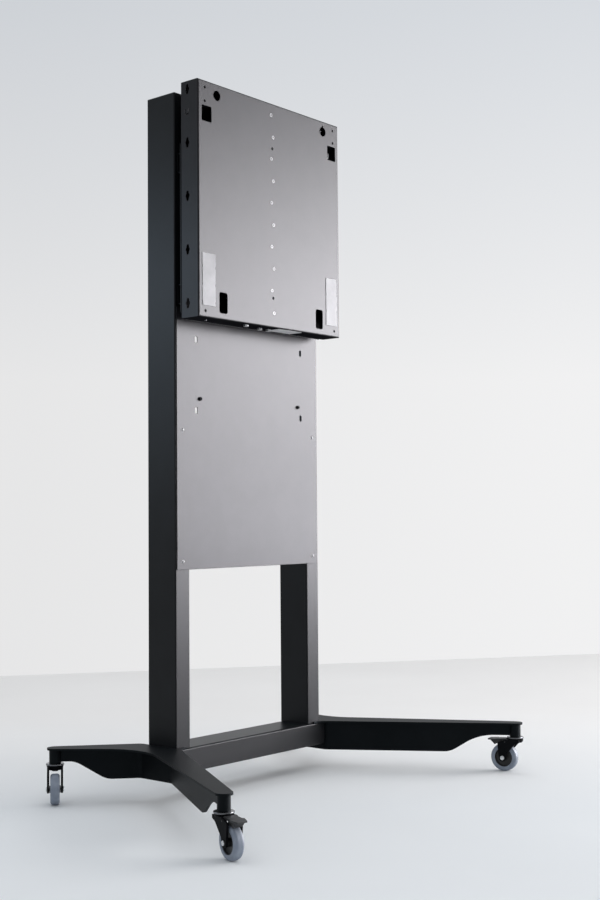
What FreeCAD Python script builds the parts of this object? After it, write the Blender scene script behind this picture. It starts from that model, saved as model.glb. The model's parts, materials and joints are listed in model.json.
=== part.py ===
import FreeCAD, Part
import math
import os

# Mobile stand for a large display, in millimetres. +Z is up and the floor is at zero.
# X runs to the right as seen from the front, and the front faces -Y.
# The origin lies on the floor, midway between the four caster stems.

# Stance: where the caster stems stand
wheel_base = 699.0
front_track = 1165.0
rear_track = 916.0
column_front_y = 101.0

# Columns: two upright rectangular tubes
column_outer_span = 560.0
column_width = 50.0
column_depth = 100.0
column_wall = 2.5
column_corner_radius = 3.5
column_top_z = 1787.0
cap_thickness = 2.0
cap_skirt_depth = 18.0
cap_skirt_wall = 2.0
cap_fit_clearance = 0.2

# Feet: one bent vertical web and one flat top plate each
web_top_z = 129.0
web_bottom_z = 52.0
web_thickness = 6.0
web_overhang = 22.0
web_bend_radius = 23.0
web_bend_overhang = 7.0
arch_flat_z = 99.0
arch_slope_degrees = 31.0
arch_low_radius = 60.0
front_arch_radius = 150.0
rear_arch_radius = 60.0
front_arch_reach = 139.5
rear_arch_reach = 88.0
foot_plate_thickness = 5.0
foot_tip_radius = 20.0
foot_waist_overhang = 52.0
foot_waist_setback = 54.0
foot_waist_radius = 150.0
foot_lip_depth = 6.0
foot_lip_overlap = 20.0
foot_lip_radius = 40.0
foot_front_corner_inset = 5.0
foot_rear_corner_outset = 3.0
foot_rear_corner_overhang = 21.0
foot_rear_corner_radius = 25.0
column_notch_clearance = 0.5
socket_radius = 14.75
socket_bottom_z = 95.5

# Crossbar: a tube on edge between the feet, with a cover plate on its front
crossbar_height = 60.0
crossbar_wall = 3.0
crossbar_corner_radius = 5.0
crossbar_cover_thickness = 5.0
crossbar_cover_drop = 1.0
crossbar_cover_rounding = 2.0

# Cover plate on the columns' fronts, placed from its top edge
cover_inset = 4.5
cover_thickness = 2.0
cover_height = 663.5
cover_overlap = 34.0
cover_corner_radius = 3.0
cover_screw_inset = 25.3
cover_screw_drops = (643.0, 311.0)
cover_slot_inset = 24.0
cover_slot_drops = (259.0, 77.0)
cover_slot_width = 9.0
cover_slot_length = 26.0
hook_screw_inset = 37.0
hook_screw_drop = 229.0
hook_stem_radius = 3.0
hook_stem_length = 6.0
hook_head_radius = 6.0
hook_head_thickness = 2.5

# Small countersunk and button screws
screw_radius = 2.5
screw_head_radius = 4.6
screw_head_depth = 2.0
screw_length = 12.0
screw_clearance = 0.2
button_head_height = 2.2

# Lift chassis: a back plate on two tube rails across the columns, hung below their tops
back_plate_overhang = 1.0
back_plate_thickness = 2.0
back_plate_height = 446.0
back_plate_drop = 137.0
back_plate_chamfer = 18.0
rail_depth = 21.5
rail_height = 50.0
rail_wall = 2.0
rail_corner_radius = 3.0
rail_end_inset = 10.0
lower_rail_rise = 66.0
upper_rail_drop = 45.0
rail_bolt_radius = 4.0
rail_bolt_head_radius = 8.0
rail_bolt_head_depth = 4.0
rail_bolt_grip = 8.0
rail_bolt_clearance = 0.3

# Lift: how far it moves, and the guide's length that follows from it
lift_travel = 400.0
carriage_length = 146.0
carriage_margin = 7.0
guide_rail_length = lift_travel + carriage_length + carriage_margin * 2
guide_rail_inset = 20.0

# Lift housing: a deep pan as wide as the columns that carries the display, drawn at the
# top of its travel
housing_height = guide_rail_length + guide_rail_inset * 2
housing_bottom_rise = 1.0
housing_depth = 60.0
housing_wall = 2.0
housing_bend_radius = 3.8
housing_running_gap = 1.5
display_hole_spacing = 400.0
display_hole_radius = 4.0
display_hole_rise = 278.0
corner_hole_radius = 3.5
corner_hole_side_inset = 24.0
corner_hole_top_inset = 18.0
corner_hole_pitch = 35.0
bottom_hole_inset = 16.0
round_window_radius = 13.0
round_window_side_inset = 68.0
round_window_inset = 30.0
window_notch_width = 5.0
window_notch_height = 4.0
window_width = 35.0
window_height = 40.0
window_side_inset = 30.5
window_inset = 84.0
window_corner_radius = 3.0
window_tab_depth = 12.0
hand_slot_width = 30.0
hand_slot_height = 53.0
hand_slot_side_inset = 89.0
hand_slot_rise = 42.5
hand_slot_corner_radius = 6.0
keyhole_count = 5
keyhole_bottom_rise = 36.0
keyhole_top_inset = 21.2
keyhole_setback = 38.0
keyhole_radius = 7.0
keyhole_slot_width = 8.0
keyhole_slot_length = 26.0
tongue_inset = 83.0
tongue_setback = 40.0
tongue_width = 8.0
tongue_length = 12.0
tongue_slit = 2.5
pad_width = 48.0
pad_height = 132.0
pad_side_inset = 36.0
pad_rise = 30.0
pad_thickness = 1.2
pad_corner_radius = 6.0

# Guide: a T rail in the housing, and a carriage with liners on the back plate
guide_base_width = 56.0
guide_base_depth = 6.0
guide_neck_width = 18.0
guide_neck_depth = 8.0
guide_head_width = 36.0
guide_head_depth = 8.0
guide_screw_count = 10
guide_screw_top_inset = 12.1
guide_screw_bottom_inset = 18.7
guide_screw_stagger = 3.8
carriage_width = 64.0
carriage_lip_depth = 6.0
carriage_back_depth = 14.0
guide_clearance = 0.3
liner_thickness = 2.0
liner_height = 40.0
riser_wall = 3.0
riser_width = 58.0

# Spring balance: a cassette with a clock spring, two pulleys and a belt loop
balance_x = -90.0
drive_pulley_drop = 70.0
idler_rise = 43.0
pulley_radius = 20.0
pulley_flange_radius = 23.0
pulley_flange_thickness = 1.5
pulley_width = 20.0
pulley_setback = 34.0
belt_thickness = 2.4
belt_side_gap = 0.4
belt_gap = 0.3
arbor_radius = 6.0
arbor_end_gap = 0.4
running_clearance = 0.05
cassette_radius = 55.0
cassette_depth = 26.0
cassette_wall = 2.0
cassette_ear_reach = 9.0
cassette_ear_width = 14.0
cassette_ear_count = 3
cassette_ear_start_degrees = 30.0
spring_strip_thickness = 1.0
spring_turns = 6
spring_side_gap = 1.0
spring_arbor_gap = 0.4
spring_outer_gap = 0.5
clamp_height = 24.0
clamp_jaw_width = 6.0
clamp_belt_gap = 0.3
clamp_rise = 70.0
clamp_base_gap = 1.5

# Belt tensioner: a sliding block in a channel, drawn down by a hex-headed screw
slider_half_width = 14.0
slider_height = 30.0
slider_travel = 6.0
slider_neck_half_width = 7.5
channel_wall = 3.0
channel_mouth_half_width = 8.0
channel_lip_depth = 3.0
channel_depth = 29.0
slider_clearance = 0.3
idler_pin_radius = 4.0
clip_radius = 7.0
clip_thickness = 1.2
tension_screw_radius = 4.0
hex_across_flats = 13.0
hex_head_height = 5.5
screw_end_gap = 5.0

# Travel stop under the guide rail, with a rubber bumper
stop_width = 52.0
stop_depth = 18.0
stop_bumper_thickness = 3.0
stop_bolt_spacing = 35.0
stop_bolt_radius = 4.0
stop_contact_gap = 0.3

# Casters: 75 mm swivel wheels on stems
wheel_radius = 37.5
wheel_width = 23.0
hub_radius = 27.5
hub_boss_radius = 9.0
hub_web_half_width = 4.0
hub_rim_thickness = 3.5
hub_end_gap = 0.4
tyre_lip_radius = 25.0
tyre_lip_thickness = 2.0
tyre_shoulder_radius = 7.0
caster_offset = 31.5
axle_radius = 3.5
axle_head_radius = 5.5
axle_head_height = 2.5
fork_inner_width = 28.4
fork_leg_thickness = 5.5
stem_radius = 6.0
stem_length = 30.0
race_radius = 22.7
race_thickness = 4.0
race_rounding = 1.2
race_gap = 0.3
king_pin_radius = 5.0
king_pin_head_radius = 8.0
king_pin_head_height = 3.5
crown_height = 10.6
crown_top_radius = 21.5
crown_bottom_radius = 18.5
crown_plate_reach = 12.0
crown_plate_back = 16.0
crown_plate_drop = 3.0
fork_boss_radius = 9.5
pedal_pin_radius = 2.0
pedal_pin_u = 24.0
pedal_pin_z = 81.0
pedal_ear_radius = 4.0
pedal_ear_thickness = 3.0
pedal_ear_gap = 0.4
pedal_plate_thickness = 3.5
pedal_root_u = 23.0
pedal_root_z = 90.0
pedal_tip_u = 76.0
pedal_tip_z = 87.0
pedal_narrow_width = 27.0
pedal_wide_width = 36.0
pedal_wide_start_u = 50.0
pedal_tip_width = 24.0
pedal_shoe_width = 24.0
pedal_shoe_start_u = 38.0
pedal_shoe_end_u = 57.0
pedal_shoe_lip_u = 70.0
pedal_shoe_drop = 8.0
pedal_travel_degrees = 8.0
pedal_contact_gap = 0.4

# Where each caster's wheel trails, as a compass in the XY plane
caster_headings = {
    "front_left": -107.0,
    "front_right": 102.0,
    "rear_left": -129.5,
    "rear_right": 100.0,
}

# Extra reach of every cutting shape past the faces that it cuts
overrun = 1.0

# Places that follow from the sizes above
column_rear_y = column_front_y + column_depth
column_outer_x = column_outer_span / 2
column_inner_x = column_outer_x - column_width
column_centre_x = column_outer_x - column_width / 2
column_centre_y = column_front_y + column_depth / 2
cover_screw_x = column_outer_x - cover_screw_inset
cover_slot_x = column_inner_x - cover_slot_inset
hook_screw_x = column_inner_x - hook_screw_inset
tube_top_z = column_top_z - cap_thickness
back_plate_top_z = column_top_z - back_plate_drop
back_plate_bottom_z = back_plate_top_z - back_plate_height
lower_rail_z = back_plate_bottom_z + lower_rail_rise
upper_rail_z = back_plate_top_z - upper_rail_drop
cover_top_z = back_plate_bottom_z + cover_overlap
cover_bottom_z = cover_top_z - cover_height
hook_screw_z = cover_top_z - hook_screw_drop
web_centre_x = column_outer_x + web_overhang - web_thickness / 2
web_inner_x = web_centre_x - web_thickness / 2
front_stem = (-front_track / 2, -wheel_base / 2)
rear_stem = (-rear_track / 2, wheel_base / 2)
foot_top_z = web_top_z + foot_plate_thickness
back_plate_rear_y = column_front_y - rail_depth
back_plate_front_y = back_plate_rear_y - back_plate_thickness
housing_rear_y = back_plate_front_y - housing_running_gap
housing_front_y = housing_rear_y - housing_depth
housing_inner_y = housing_front_y + housing_wall
housing_bottom_z = back_plate_bottom_z + housing_bottom_rise
housing_top_z = housing_bottom_z + housing_height
housing_outer_x = column_outer_x
corner_hole_x = housing_outer_x - corner_hole_side_inset
round_window_x = housing_outer_x - round_window_side_inset
window_x = housing_outer_x - window_side_inset
hand_slot_x = housing_outer_x - hand_slot_side_inset
pad_x = housing_outer_x - pad_side_inset
guide_bottom_z = housing_bottom_z + guide_rail_inset
guide_neck_y = housing_inner_y + guide_base_depth
guide_head_y = guide_neck_y + guide_neck_depth
guide_rear_y = guide_head_y + guide_head_depth
carriage_bottom_z = guide_bottom_z + carriage_margin
carriage_top_z = carriage_bottom_z + carriage_length
carriage_cavity_y = guide_head_y - guide_clearance
carriage_front_y = carriage_cavity_y - carriage_lip_depth
carriage_back_y = guide_rear_y + guide_clearance
carriage_rear_y = carriage_back_y + carriage_back_depth
liner_inner_x = guide_head_width / 2 + guide_clearance
carriage_cavity_x = liner_inner_x + liner_thickness
drive_pulley_z = housing_top_z - drive_pulley_drop
idler_z = housing_bottom_z + idler_rise
pulley_front_y = housing_inner_y + pulley_setback
pulley_rear_y = pulley_front_y + pulley_width
belt_front_y = pulley_front_y + pulley_flange_thickness + belt_side_gap
belt_rear_y = pulley_rear_y - pulley_flange_thickness - belt_side_gap
belt_inner_radius = pulley_radius + belt_gap
belt_outer_radius = belt_inner_radius + belt_thickness
cassette_rear_y = housing_inner_y + cassette_depth
race_bottom_z = socket_bottom_z - race_thickness
crown_top_z = race_bottom_z - race_gap
crown_bottom_z = crown_top_z - crown_height
fork_outer_y = fork_inner_width / 2 + fork_leg_thickness

PLANES = {
    "XY": (lambda u, v, w: FreeCAD.Vector(u, v, w), FreeCAD.Vector(0, 0, 1)),
    "XZ": (lambda u, v, w: FreeCAD.Vector(u, w, v), FreeCAD.Vector(0, 1, 0)),
    "YZ": (lambda u, v, w: FreeCAD.Vector(w, u, v), FreeCAD.Vector(1, 0, 0)),
}


def block(x_span, y_span, z_span):
    """Box between the low and high ends of three spans."""
    corner = FreeCAD.Vector(x_span[0], y_span[0], z_span[0])
    return Part.makeBox(
        x_span[1] - x_span[0], y_span[1] - y_span[0], z_span[1] - z_span[0], corner
    )


def rod(radius, start, end):
    """Cylinder between two points on its axis."""
    start = FreeCAD.Vector(*start)
    run = FreeCAD.Vector(*end) - start
    return Part.makeCylinder(radius, run.Length, start, run)


def cone(start_radius, end_radius, start, end):
    """Cone frustum between two points on its axis."""
    start = FreeCAD.Vector(*start)
    run = FreeCAD.Vector(*end) - start
    return Part.makeCone(start_radius, end_radius, run.Length, start, run)


def rounded_wire(corners, plane="XY", level=0.0):
    """Closed outline through (u, v, radius) corners; a radius of zero stays sharp."""
    place = PLANES[plane][0]
    points = [place(u, v, level) for u, v, radius in corners]
    entries, exits, arcs = [], [], []
    for index, (u, v, radius) in enumerate(corners):
        here = points[index]
        back = (points[index - 1] - here).normalize()
        ahead = (points[(index + 1) % len(points)] - here).normalize()
        if radius == 0:
            entries.append(here)
            exits.append(here)
            arcs.append(None)
            continue
        half = back.getAngle(ahead) / 2
        reach = radius / math.tan(half)
        bisector = (back + ahead).normalize()
        middle = here + bisector * (radius / math.sin(half) - radius)
        entries.append(here + back * reach)
        exits.append(here + ahead * reach)
        arcs.append(Part.Arc(entries[-1], middle, exits[-1]).toShape())
    edges = []
    for index in range(len(points)):
        if arcs[index] is not None:
            edges.append(arcs[index])
        after = entries[(index + 1) % len(points)]
        if exits[index].distanceToPoint(after) > Part.Vertex(after).Tolerance:
            edges.append(Part.makeLine(exits[index], after))
    return Part.Wire(edges)


def prism(corners, low, high, plane="XY"):
    """Solid with a rounded outline in a plane, from one level to another across it."""
    face = Part.Face(rounded_wire(corners, plane, low))
    return face.extrude(PLANES[plane][1] * (high - low))


def rectangle(u_span, v_span, radius=0.0):
    """Corners of a rectangle with one corner radius, for the outline functions."""
    return [
        (u_span[0], v_span[0], radius),
        (u_span[1], v_span[0], radius),
        (u_span[1], v_span[1], radius),
        (u_span[0], v_span[1], radius),
    ]


def around(centre, size):
    """Span of one size about a centre."""
    return (centre - size / 2, centre + size / 2)


def hexagon(centre_u, centre_v, across_flats):
    """Corners of a hexagon with flat sides left and right."""
    radius = across_flats / math.sqrt(3)
    turns = [math.radians(60 * side + 30) for side in range(6)]
    return [(centre_u + radius * math.cos(a), centre_v + radius * math.sin(a), 0) for a in turns]


def revolve(profile, axis_start, axis):
    """Solid of revolution of an XZ outline about a line in its plane."""
    face = Part.Face(rounded_wire(profile, "XZ"))
    return face.revolve(FreeCAD.Vector(*axis_start), FreeCAD.Vector(*axis), 360)


def mirrored(shape):
    """The same shape on the other side of the middle plane."""
    return shape.mirror(FreeCAD.Vector(0, 0, 0), FreeCAD.Vector(1, 0, 0))


def both_sides(x):
    """A place to the left and its twin to the right."""
    return (-x, x)


def save(name, *shapes):
    """Write one node, as one solid or as a group of separate solids."""
    shape = shapes[0] if len(shapes) == 1 else Part.makeCompound(list(shapes))
    shape.exportStep(os.path.join("parts", name + ".step"))


def tube_section(u_span, v_span, wall, radius, low, high, plane):
    """Rectangular tube with rounded corners, hollow from end to end."""
    outer = prism(rectangle(u_span, v_span, radius), low, high, plane)
    inner_u = (u_span[0] + wall, u_span[1] - wall)
    inner_v = (v_span[0] + wall, v_span[1] - wall)
    inner_radius = max(radius - wall, radius / 5)
    inner = prism(rectangle(inner_u, inner_v, inner_radius), low - overrun, high + overrun, plane)
    return outer.cut(inner)


def cover_screw_places():
    """Fixing points of the cover plate, as (x, z)."""
    heights = [cover_top_z - drop for drop in cover_screw_drops]
    return [(x, z) for z in heights for x in both_sides(cover_screw_x)]


def rail_bolt_places():
    """Bolts that hold the back plate and rails to the columns, as (x, z)."""
    return [(x, z) for z in (lower_rail_z, upper_rail_z) for x in both_sides(column_centre_x)]


def guide_screw_places():
    """Staggered screws along the guide rail, as (x, z), from the top down."""
    top = guide_bottom_z + guide_rail_length - guide_screw_top_inset
    bottom = guide_bottom_z + guide_screw_bottom_inset
    pitch = (top - bottom) / (guide_screw_count - 1)
    sides = (-guide_screw_stagger, guide_screw_stagger)
    return [(sides[i % 2], top - i * pitch) for i in range(guide_screw_count)]


def display_hole_places():
    """The two threaded holes that a display bracket bolts to, as (x, z)."""
    middle = housing_bottom_z + display_hole_rise
    half = display_hole_spacing / 2
    return [(0, middle + half), (0, middle - half)]


def make_columns():
    """Two rectangular tubes with plastic caps."""
    x_span = (-column_outer_x, -column_inner_x)
    y_span = (column_front_y, column_rear_y)
    tube = tube_section(
        x_span, y_span, column_wall, column_corner_radius, web_top_z, tube_top_z, "XY"
    )
    wall_span = (column_front_y - overrun, column_front_y + column_wall + overrun)
    holes = []
    for x, z in cover_screw_places():
        if x < 0:
            hole_radius = screw_radius + screw_clearance
            holes.append(rod(hole_radius, (x, wall_span[0], z), (x, wall_span[1], z)))
    for x, z in rail_bolt_places():
        if x < 0:
            hole_radius = rail_bolt_radius + rail_bolt_clearance
            holes.append(rod(hole_radius, (x, wall_span[0], z), (x, wall_span[1], z)))
    tube = tube.cut(Part.makeCompound(holes))
    save("left_column", tube)
    save("right_column", mirrored(tube))

    plate = prism(rectangle(x_span, y_span, column_corner_radius), tube_top_z, column_top_z)
    edge_limit_z = column_top_z - cap_fit_clearance
    top_edges = [edge for edge in plate.Edges if edge.BoundBox.ZMin > edge_limit_z]
    plate = plate.makeFillet(cap_thickness / 2, top_edges)
    inset = column_wall + cap_fit_clearance
    skirt_x = (x_span[0] + inset, x_span[1] - inset)
    skirt_y = (y_span[0] + inset, y_span[1] - inset)
    skirt = tube_section(
        skirt_x,
        skirt_y,
        cap_skirt_wall,
        column_corner_radius - inset / 2,
        tube_top_z - cap_skirt_depth,
        tube_top_z,
        "XY",
    )
    cap = plate.fuse(skirt)
    save("column_caps", cap, mirrored(cap))


def make_crossbar():
    """Tube between the foot webs, and the plate that covers its front."""
    z_span = (web_top_z - crossbar_height, web_top_z)
    y_span = (column_front_y, column_rear_y)
    tube = tube_section(
        y_span, z_span, crossbar_wall, crossbar_corner_radius, -web_inner_x, web_inner_x, "YZ"
    )
    save("crossbar", tube)
    cover_y = (column_front_y - crossbar_cover_thickness, column_front_y)
    cover_z = (z_span[0], z_span[1] - crossbar_cover_drop)
    outline = rectangle(cover_y, cover_z, crossbar_cover_rounding)
    save("crossbar_cover", prism(outline, -web_inner_x, web_inner_x, "YZ"))


def web_path():
    """Centre line of the left web in plan: front stem, two bends, rear stem."""
    return [
        front_stem,
        (-web_centre_x, column_front_y - web_bend_overhang),
        (-web_centre_x, column_rear_y + web_bend_overhang),
        rear_stem,
    ]


def offset_path(path, offset):
    """Path shifted sideways by an offset, with its corners kept on the bisectors."""
    points = [FreeCAD.Vector(x, y, 0) for x, y in path]
    shifted = []
    for index, here in enumerate(points):
        before = points[max(index - 1, 0)]
        after = points[min(index + 1, len(points) - 1)]
        runs = [run.normalize() for run in (here - before, after - here) if run.Length > 0]
        sides = [FreeCAD.Vector(-run.y, run.x, 0) for run in runs]
        bisector = sum(sides, FreeCAD.Vector(0, 0, 0)).normalize()
        shifted.append(here + bisector * (offset / bisector.dot(sides[0])))
    return [(p.x, p.y) for p in shifted]


def arch_cut(stem, corner, reach, high_radius):
    """Wedge that takes the low edge of a leg up in a smooth slope near its caster."""
    run = FreeCAD.Vector(corner[0] - stem[0], corner[1] - stem[1], 0)
    slope = math.tan(math.radians(arch_slope_degrees))
    rise = arch_flat_z - web_bottom_z
    half_run = rise / slope / 2
    below = web_bottom_z - rise
    outline = [
        (-foot_tip_radius, below, 0),
        (run.Length - web_bend_radius, below, 0),
        (run.Length - web_bend_radius, web_bottom_z, 0),
        (reach + half_run, web_bottom_z, arch_low_radius),
        (reach - half_run, arch_flat_z, high_radius),
        (-foot_tip_radius, arch_flat_z, 0),
    ]
    wedge = prism(outline, -foot_tip_radius, foot_tip_radius, "XZ")
    heading = math.degrees(math.atan2(run.y, run.x))
    wedge.rotate(FreeCAD.Vector(0, 0, 0), FreeCAD.Vector(0, 0, 1), heading)
    wedge.translate(FreeCAD.Vector(stem[0], stem[1], 0))
    return wedge


def make_foot_web():
    """Bent vertical plate under each foot, arched up towards its casters."""
    path = web_path()
    half = web_thickness / 2
    left = offset_path(path, half)
    right = offset_path(path, -half)
    bends = (web_bend_radius - half, web_bend_radius + half)
    corners = [(*left[0], 0), (*left[1], bends[0]), (*left[2], bends[0]), (*left[3], 0)]
    corners += [(*right[3], 0), (*right[2], bends[1]), (*right[1], bends[1]), (*right[0], 0)]
    web = prism(corners, web_bottom_z, web_top_z)
    web = web.cut(arch_cut(path[0], path[1], front_arch_reach, front_arch_radius))
    web = web.cut(arch_cut(path[3], path[2], rear_arch_reach, rear_arch_radius))
    for x, y in (front_stem, rear_stem):
        web = web.cut(rod(socket_radius, (x, y, 0), (x, y, foot_top_z)))
    save("left_foot_web", web)
    save("right_foot_web", mirrored(web))


def tangent_point(centre, radius, target, side):
    """Where a line from a target point touches a circle, on its left (1) or right (-1)."""
    away = FreeCAD.Vector(target[0] - centre[0], target[1] - centre[1], 0)
    turn = side * math.acos(radius / away.Length)
    heading = math.atan2(away.y, away.x) + turn
    return (centre[0] + radius * math.cos(heading), centre[1] + radius * math.sin(heading))


def make_foot_plate():
    """Flat plate on the web: two tapered legs with round tips and a soft waist."""
    waist = (-column_outer_x - foot_waist_overhang, column_front_y + foot_waist_setback)
    front_corner = (foot_front_corner_inset - column_outer_x, column_front_y - foot_lip_depth)
    rear_x = -column_outer_x - foot_rear_corner_outset
    lip_end_x = -column_inner_x - foot_lip_overlap
    rear_corner = (rear_x, column_rear_y + foot_rear_corner_overhang)
    tips = {}
    for name, stem, inner in (("front", front_stem, front_corner), ("rear", rear_stem, rear_corner)):
        outer_side = 1 if name == "front" else -1
        tips[name, "outer"] = tangent_point(stem, foot_tip_radius, waist, outer_side)
        tips[name, "inner"] = tangent_point(stem, foot_tip_radius, inner, -outer_side)
    corners = [
        (*tips["front", "outer"], 0),
        (*waist, foot_waist_radius),
        (*tips["rear", "outer"], 0),
        (*tips["rear", "inner"], 0),
        (*rear_corner, foot_rear_corner_radius),
        (rear_x, column_centre_y, 0),
        (lip_end_x, column_centre_y, 0),
        (lip_end_x, front_corner[1], 0),
        (*front_corner, foot_lip_radius),
        (*tips["front", "inner"], 0),
    ]
    plate = prism(corners, web_top_z, foot_top_z)
    for x, y in (front_stem, rear_stem):
        plate = plate.fuse(rod(foot_tip_radius, (x, y, web_top_z), (x, y, foot_top_z)))
    clear = column_notch_clearance
    notch = block(
        (-column_outer_x - clear, 0),
        (column_front_y - clear, column_rear_y + clear),
        (web_top_z - overrun, foot_top_z + overrun),
    )
    plate = plate.cut(notch).removeSplitter()
    save("left_foot_plate", plate)
    save("right_foot_plate", mirrored(plate))


def make_sockets():
    """Four tubes under the leg tips that take the caster stems."""
    sockets = []
    bore = stem_radius + running_clearance
    for x, y in (front_stem, rear_stem):
        tube = rod(socket_radius, (x, y, socket_bottom_z), (x, y, web_top_z))
        hole = rod(bore, (x, y, socket_bottom_z - overrun), (x, y, web_top_z + overrun))
        sockets.append(tube.cut(hole))
    save("caster_sockets", *sockets, *[mirrored(tube) for tube in sockets])


def make_cover():
    """Cover plate on the columns, with its screws and the two hook screws."""
    front = column_front_y - cover_thickness
    half = column_outer_x - cover_inset
    outline = rectangle((-half, half), (cover_bottom_z, cover_top_z), cover_corner_radius)
    plate = prism(outline, front, column_front_y, "XZ")
    cut_span = (front - overrun, column_front_y + overrun)
    cuts = []
    for x, z in cover_screw_places():
        hole_radius = screw_radius + screw_clearance
        cuts.append(rod(hole_radius, (x, cut_span[0], z), (x, cut_span[1], z)))
    for x in both_sides(cover_slot_x):
        for drop in cover_slot_drops:
            ends = (around(x, cover_slot_width), around(cover_top_z - drop, cover_slot_length))
            cuts.append(prism(rectangle(*ends, cover_slot_width / 2), *cut_span, "XZ"))
    for x in both_sides(hook_screw_x):
        hole = ((x, cut_span[0], hook_screw_z), (x, cut_span[1], hook_screw_z))
        cuts.append(rod(hook_stem_radius + screw_clearance, *hole))
    save("cover_plate", plate.cut(Part.makeCompound(cuts)))

    screws = []
    for x, z in cover_screw_places():
        shank = rod(screw_radius, (x, front, z), (x, front + screw_length, z))
        head_ends = ((x, front, z), (x, front - button_head_height, z))
        head = cone(screw_head_radius, screw_head_radius / 2, *head_ends)
        screws.append(shank.fuse(head))
    save("cover_screws", *screws)

    hooks = []
    for x in both_sides(hook_screw_x):
        stem_end = front - hook_stem_length
        rear = column_front_y + cover_thickness
        stem = rod(hook_stem_radius, (x, rear, hook_screw_z), (x, stem_end, hook_screw_z))
        head_end = stem_end - hook_head_thickness
        head = rod(hook_head_radius, (x, stem_end, hook_screw_z), (x, head_end, hook_screw_z))
        nut = rod(hook_head_radius, (x, column_front_y, hook_screw_z), (x, rear, hook_screw_z))
        collar = rod(
            (hook_stem_radius + hook_head_radius) / 2,
            (x, front, hook_screw_z),
            (x, front - hook_head_thickness / 2, hook_screw_z),
        )
        hooks.append(stem.fuse([head, nut, collar]))
    save("hook_screws", *hooks)


def countersunk(x, y, z, radius, head_radius, head_depth, length):
    """Flat-headed screw along +Y whose head is flush with a face at y."""
    head = cone(head_radius, radius, (x, y, z), (x, y + head_depth, z))
    return head.fuse(rod(radius, (x, y, z), (x, y + length, z)))


def make_chassis():
    """Back plate of the lift, the two rails behind it and their bolts."""
    half = column_outer_x + back_plate_overhang
    corners = [
        (-half + back_plate_chamfer, back_plate_bottom_z, 0),
        (half - back_plate_chamfer, back_plate_bottom_z, 0),
        (half, back_plate_bottom_z + back_plate_chamfer, 0),
        (half, back_plate_top_z, 0),
        (-half, back_plate_top_z, 0),
        (-half, back_plate_bottom_z + back_plate_chamfer, 0),
    ]
    plate = prism(corners, back_plate_front_y, back_plate_rear_y, "XZ")
    grow = rail_bolt_clearance
    sinks = []
    for x, z in rail_bolt_places():
        sink_radius = rail_bolt_head_radius + grow
        sink = countersunk(
            x, back_plate_front_y, z, rail_bolt_radius + grow, sink_radius,
            rail_bolt_head_depth + grow, rail_depth + back_plate_thickness + overrun,
        )
        sinks.append(sink)
    sinks = Part.makeCompound(sinks)
    save("lift_back_plate", plate.cut(sinks))

    y_span = (back_plate_rear_y, column_front_y)
    rail_end = column_outer_x - rail_end_inset
    ends = (-rail_end, rail_end)
    for name, z in (("lower_rail", lower_rail_z), ("upper_rail", upper_rail_z)):
        z_span = around(z, rail_height)
        rail = tube_section(y_span, z_span, rail_wall, rail_corner_radius, *ends, "YZ")
        save(name, rail.cut(sinks))

    bolts = []
    length = back_plate_thickness + rail_depth + rail_bolt_grip
    for x, z in rail_bolt_places():
        bolt = countersunk(
            x, back_plate_front_y, z, rail_bolt_radius, rail_bolt_head_radius,
            rail_bolt_head_depth, length,
        )
        bolts.append(bolt)
    save("rail_bolts", *bolts)


def front_cuts():
    """Openings in the housing's front sheet."""
    span = (housing_front_y - overrun, housing_inner_y + overrun)
    cuts = []
    top_hole_z = housing_top_z - corner_hole_top_inset
    window_z = housing_top_z - window_inset
    slot_z = housing_bottom_z + hand_slot_rise
    for x in both_sides(corner_hole_x):
        for z in (top_hole_z, top_hole_z - corner_hole_pitch):
            cuts.append(rod(corner_hole_radius, (x, span[0], z), (x, span[1], z)))
    for x in both_sides(corner_hole_x):
        z = housing_bottom_z + bottom_hole_inset
        cuts.append(rod(corner_hole_radius, (x, span[0], z), (x, span[1], z)))
    for x in both_sides(round_window_x):
        z = housing_top_z - round_window_inset
        cuts.append(rod(round_window_radius, (x, span[0], z), (x, span[1], z)))
        if x > 0:
            notch_z = (z, z + round_window_radius + window_notch_height)
            cuts.append(block(around(x, window_notch_width), span, notch_z))
    for x in both_sides(window_x):
        sides = (around(x, window_width), around(window_z, window_height))
        cuts.append(prism(rectangle(*sides, window_corner_radius), *span, "XZ"))
    for x in both_sides(hand_slot_x):
        sides = (around(x, hand_slot_width), around(slot_z, hand_slot_height))
        cuts.append(prism(rectangle(*sides, hand_slot_corner_radius), *span, "XZ"))
    for x, z in display_hole_places():
        cuts.append(rod(display_hole_radius, (x, span[0], z), (x, span[1], z)))
    for x, z in guide_screw_places():
        sink = countersunk(
            x, housing_front_y, z, screw_radius + screw_clearance,
            screw_head_radius + screw_clearance, screw_head_depth, housing_wall + overrun,
        )
        cuts.append(sink)
    return cuts


def side_cuts():
    """Slots with a round middle down both sides of the housing, and a small tongue."""
    cuts = []
    y = housing_front_y + keyhole_setback
    pitch = (housing_height - keyhole_bottom_rise - keyhole_top_inset) / (keyhole_count - 1)
    for x in both_sides(housing_outer_x):
        span = around(x, housing_wall * 4)
        for index in range(keyhole_count):
            z = housing_bottom_z + keyhole_bottom_rise + index * pitch
            slot = (around(y, keyhole_slot_width), around(z, keyhole_slot_length))
            cuts.append(prism(rectangle(*slot, keyhole_slot_width / 2), *span, "YZ"))
            cuts.append(rod(keyhole_radius, (span[0], y, z), (span[1], y, z)))
        cuts.append(tongue_cut(span))
    return cuts


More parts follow.
